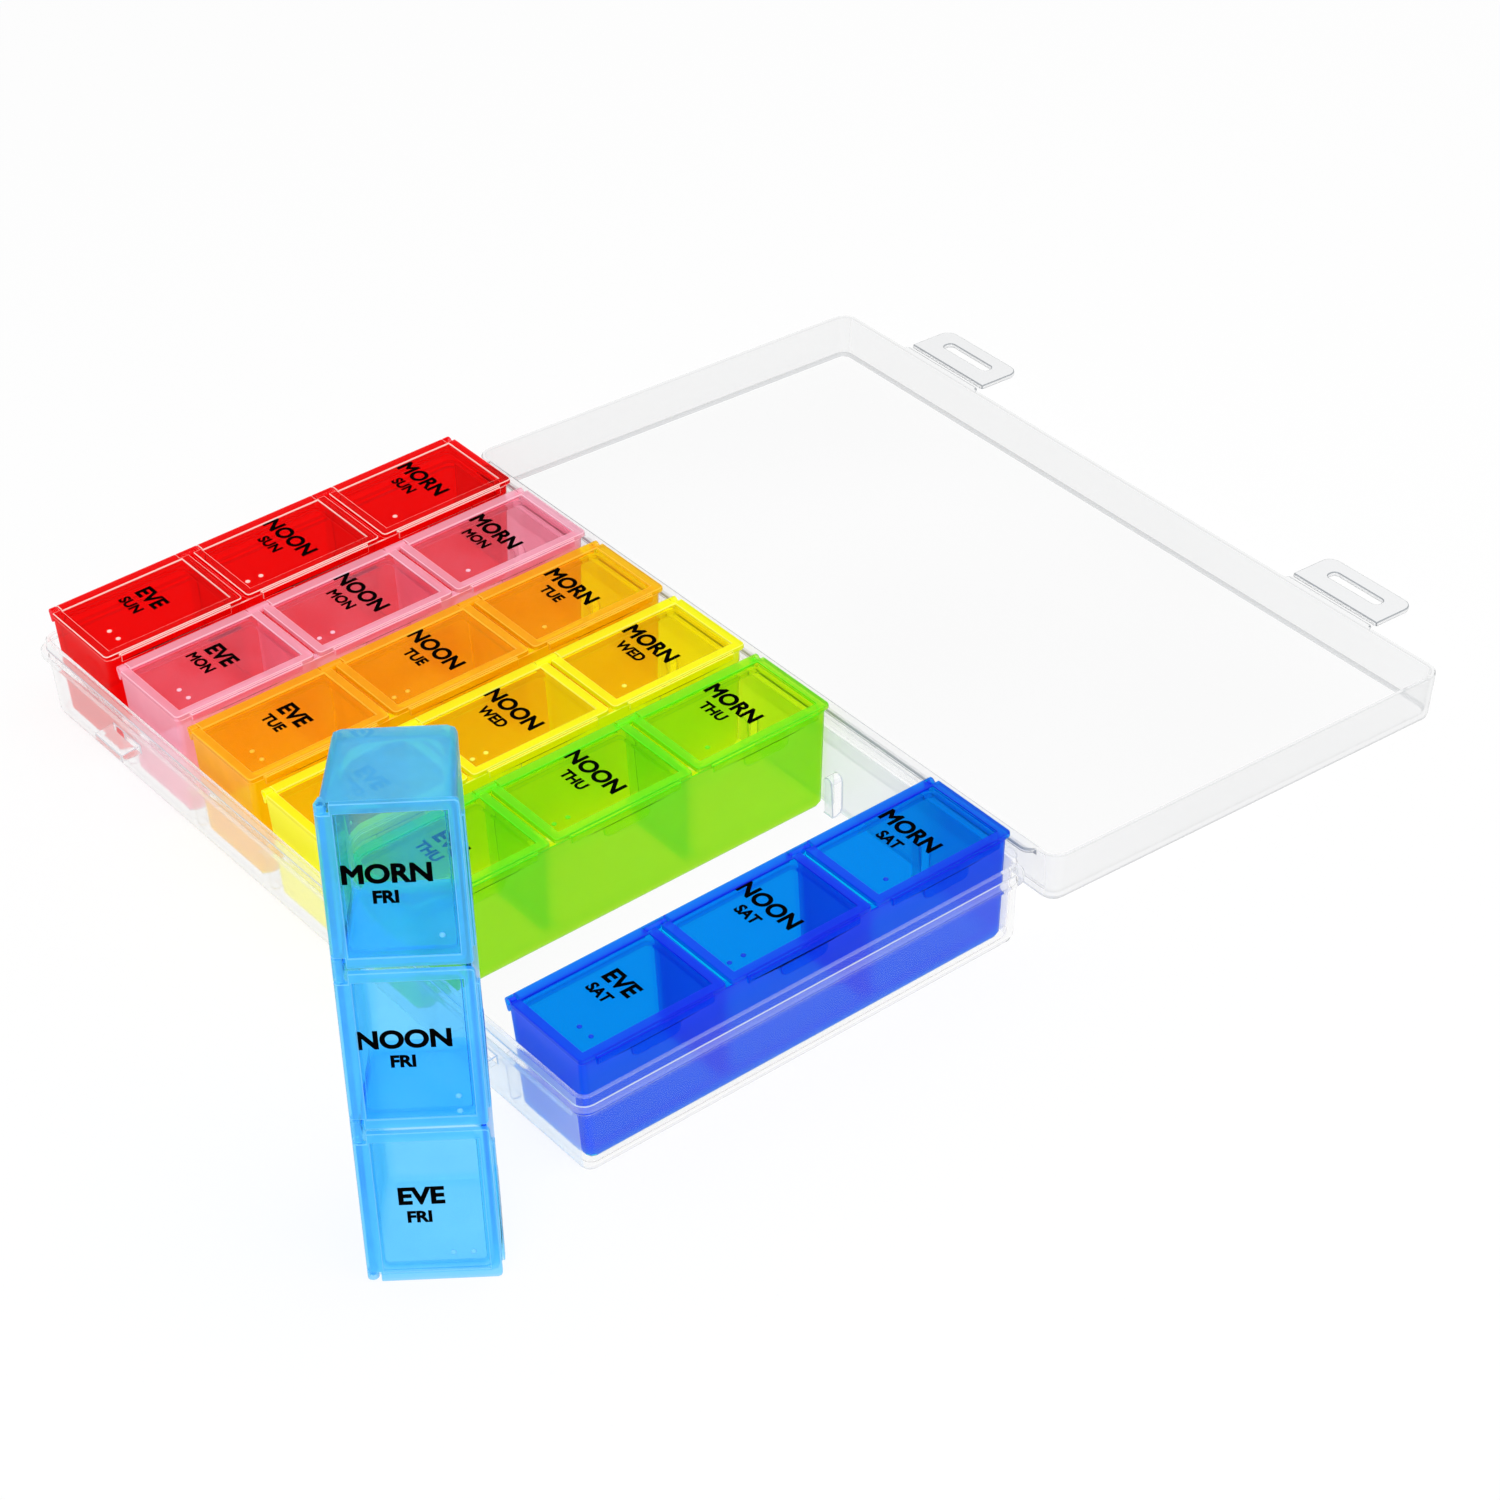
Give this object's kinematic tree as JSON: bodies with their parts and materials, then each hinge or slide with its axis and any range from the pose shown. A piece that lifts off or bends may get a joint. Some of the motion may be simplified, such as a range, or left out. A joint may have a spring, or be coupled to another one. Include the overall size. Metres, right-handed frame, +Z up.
{
  "type": "weekly pill organizer",
  "caption": "Frosted hinged case with two slotted latches that holds removable translucent day boxes, each with small hinged lids over its pill pockets.",
  "frame": {"origin": "centre of the tray's flat underside, on the table", "axes": "+X along the tray from the first day to the last, +Y from the latch side to the hinge side, +Z up out of the tray"},
  "size_m": [0.2294, 0.3148, 0.1156],
  "materials": {
    "case_clear": "frosted clear polypropylene, satin",
    "red": "translucent red polypropylene, glossy",
    "pink": "translucent pink polypropylene, glossy",
    "orange": "translucent orange polypropylene, glossy",
    "yellow": "translucent yellow polypropylene, glossy",
    "green": "translucent green polypropylene, glossy",
    "sky_blue": "translucent sky blue polypropylene, glossy",
    "deep_blue": "translucent deep blue polypropylene, glossy"
  },
  "bodies": {
    "case": {"tray": "case_clear", "living_hinge": "case_clear"},
    "lid": {"case_lid": "case_clear"},
    "latch_left": {"latch_left": "case_clear"},
    "latch_right": {"latch_right": "case_clear"},
    "box_sun": {"box_sun": "red"},
    "lid_sun_eve": {"lid_sun_eve": "red"},
    "lid_sun_noon": {"lid_sun_noon": "red"},
    "lid_sun_morn": {"lid_sun_morn": "red"},
    "box_mon": {"box_mon": "pink"},
    "lid_mon_eve": {"lid_mon_eve": "pink"},
    "lid_mon_noon": {"lid_mon_noon": "pink"},
    "lid_mon_morn": {"lid_mon_morn": "pink"},
    "box_tue": {"box_tue": "orange"},
    "lid_tue_eve": {"lid_tue_eve": "orange"},
    "lid_tue_noon": {"lid_tue_noon": "orange"},
    "lid_tue_morn": {"lid_tue_morn": "orange"},
    "box_wed": {"box_wed": "yellow"},
    "lid_wed_eve": {"lid_wed_eve": "yellow"},
    "lid_wed_noon": {"lid_wed_noon": "yellow"},
    "lid_wed_morn": {"lid_wed_morn": "yellow"},
    "box_thu": {"box_thu": "green"},
    "lid_thu_eve": {"lid_thu_eve": "green"},
    "lid_thu_noon": {"lid_thu_noon": "green"},
    "lid_thu_morn": {"lid_thu_morn": "green"},
    "box_fri": {"box_fri": "sky_blue"},
    "lid_fri_eve": {"lid_fri_eve": "sky_blue"},
    "lid_fri_noon": {"lid_fri_noon": "sky_blue"},
    "lid_fri_morn": {"lid_fri_morn": "sky_blue"},
    "box_sat": {"box_sat": "deep_blue"},
    "lid_sat_eve": {"lid_sat_eve": "deep_blue"},
    "lid_sat_noon": {"lid_sat_noon": "deep_blue"},
    "lid_sat_morn": {"lid_sat_morn": "deep_blue"}
  },
  "joints": [
    {"name": "case_lid_hinge", "type": "hinge", "parent": "case", "child": "lid", "pos_m": [0, 0.06415, 0.01995], "axis": [-1, 0, 0], "range_deg": [-183.16, 0], "deforming": ["living_hinge"]},
    {"name": "latch_left_fold", "type": "hinge", "parent": "lid", "child": "latch_left", "pos_m": [-0.0715, 0.19102, 0.0122], "axis": [-1, 0, 0], "range_deg": [-90, 0]},
    {"name": "latch_right_fold", "type": "hinge", "parent": "lid", "child": "latch_right", "pos_m": [0.0715, 0.19102, 0.0122], "axis": [-1, 0, 0], "range_deg": [-90, 0]},
    {"name": "box_sun_lift", "type": "slide", "parent": "case", "child": "box_sun", "axis": [0, 0, 1], "range_m": [0, 0.035]},
    {"name": "lid_sun_eve_hinge", "type": "hinge", "parent": "box_sun", "child": "lid_sun_eve", "pos_m": [-0.1054, -0.039, 0.0295], "axis": [0, -1, 0], "range_deg": [0, 110]},
    {"name": "lid_sun_noon_hinge", "type": "hinge", "parent": "box_sun", "child": "lid_sun_noon", "pos_m": [-0.1054, 0, 0.0295], "axis": [0, -1, 0], "range_deg": [0, 110]},
    {"name": "lid_sun_morn_hinge", "type": "hinge", "parent": "box_sun", "child": "lid_sun_morn", "pos_m": [-0.1054, 0.039, 0.0295], "axis": [0, -1, 0], "range_deg": [0, 110]},
    {"name": "box_mon_lift", "type": "slide", "parent": "case", "child": "box_mon", "axis": [0, 0, 1], "range_m": [0, 0.035]},
    {"name": "lid_mon_eve_hinge", "type": "hinge", "parent": "box_mon", "child": "lid_mon_eve", "pos_m": [-0.0744, -0.039, 0.0295], "axis": [0, -1, 0], "range_deg": [0, 110]},
    {"name": "lid_mon_noon_hinge", "type": "hinge", "parent": "box_mon", "child": "lid_mon_noon", "pos_m": [-0.0744, 0, 0.0295], "axis": [0, -1, 0], "range_deg": [0, 110]},
    {"name": "lid_mon_morn_hinge", "type": "hinge", "parent": "box_mon", "child": "lid_mon_morn", "pos_m": [-0.0744, 0.039, 0.0295], "axis": [0, -1, 0], "range_deg": [0, 110]},
    {"name": "box_tue_lift", "type": "slide", "parent": "case", "child": "box_tue", "axis": [0, 0, 1], "range_m": [0, 0.035]},
    {"name": "lid_tue_eve_hinge", "type": "hinge", "parent": "box_tue", "child": "lid_tue_eve", "pos_m": [-0.0434, -0.039, 0.0295], "axis": [0, -1, 0], "range_deg": [0, 110]},
    {"name": "lid_tue_noon_hinge", "type": "hinge", "parent": "box_tue", "child": "lid_tue_noon", "pos_m": [-0.0434, 0, 0.0295], "axis": [0, -1, 0], "range_deg": [0, 110]},
    {"name": "lid_tue_morn_hinge", "type": "hinge", "parent": "box_tue", "child": "lid_tue_morn", "pos_m": [-0.0434, 0.039, 0.0295], "axis": [0, -1, 0], "range_deg": [0, 110]},
    {"name": "box_wed_lift", "type": "slide", "parent": "case", "child": "box_wed", "axis": [0, 0, 1], "range_m": [0, 0.035]},
    {"name": "lid_wed_eve_hinge", "type": "hinge", "parent": "box_wed", "child": "lid_wed_eve", "pos_m": [-0.0124, -0.039, 0.0295], "axis": [0, -1, 0], "range_deg": [0, 110]},
    {"name": "lid_wed_noon_hinge", "type": "hinge", "parent": "box_wed", "child": "lid_wed_noon", "pos_m": [-0.0124, 0, 0.0295], "axis": [0, -1, 0], "range_deg": [0, 110]},
    {"name": "lid_wed_morn_hinge", "type": "hinge", "parent": "box_wed", "child": "lid_wed_morn", "pos_m": [-0.0124, 0.039, 0.0295], "axis": [0, -1, 0], "range_deg": [0, 110]},
    {"name": "box_thu_lift", "type": "slide", "parent": "case", "child": "box_thu", "axis": [0, 0, 1], "range_m": [0, 0.035]},
    {"name": "lid_thu_eve_hinge", "type": "hinge", "parent": "box_thu", "child": "lid_thu_eve", "pos_m": [0.0186, -0.039, 0.0295], "axis": [0, -1, 0], "range_deg": [0, 110]},
    {"name": "lid_thu_noon_hinge", "type": "hinge", "parent": "box_thu", "child": "lid_thu_noon", "pos_m": [0.0186, 0, 0.0295], "axis": [0, -1, 0], "range_deg": [0, 110]},
    {"name": "lid_thu_morn_hinge", "type": "hinge", "parent": "box_thu", "child": "lid_thu_morn", "pos_m": [0.0186, 0.039, 0.0295], "axis": [0, -1, 0], "range_deg": [0, 110]},
    {"name": "box_fri_lift", "type": "slide", "parent": "case", "child": "box_fri", "axis": [0, 0, 1], "range_m": [0, 0.035]},
    {"name": "lid_fri_eve_hinge", "type": "hinge", "parent": "box_fri", "child": "lid_fri_eve", "pos_m": [0.10212, -0.10832, 0.01887], "axis": [0.0468, -0.035, -0.9983], "range_deg": [0, 110]},
    {"name": "lid_fri_noon_hinge", "type": "hinge", "parent": "box_fri", "child": "lid_fri_noon", "pos_m": [0.10029, -0.10695, 0.05781], "axis": [0.0468, -0.035, -0.9983], "range_deg": [0, 110]},
    {"name": "lid_fri_morn_hinge", "type": "hinge", "parent": "box_fri", "child": "lid_fri_morn", "pos_m": [0.09847, -0.10559, 0.09674], "axis": [0.0468, -0.035, -0.9983], "range_deg": [0, 110]},
    {"name": "box_sat_lift", "type": "slide", "parent": "case", "child": "box_sat", "axis": [0, 0, 1], "range_m": [0, 0.035]},
    {"name": "lid_sat_eve_hinge", "type": "hinge", "parent": "box_sat", "child": "lid_sat_eve", "pos_m": [0.0806, -0.039, 0.0295], "axis": [0, -1, 0], "range_deg": [0, 110]},
    {"name": "lid_sat_noon_hinge", "type": "hinge", "parent": "box_sat", "child": "lid_sat_noon", "pos_m": [0.0806, 0, 0.0295], "axis": [0, -1, 0], "range_deg": [0, 110]},
    {"name": "lid_sat_morn_hinge", "type": "hinge", "parent": "box_sat", "child": "lid_sat_morn", "pos_m": [0.0806, 0.039, 0.0295], "axis": [0, -1, 0], "range_deg": [0, 110]}
  ]
}
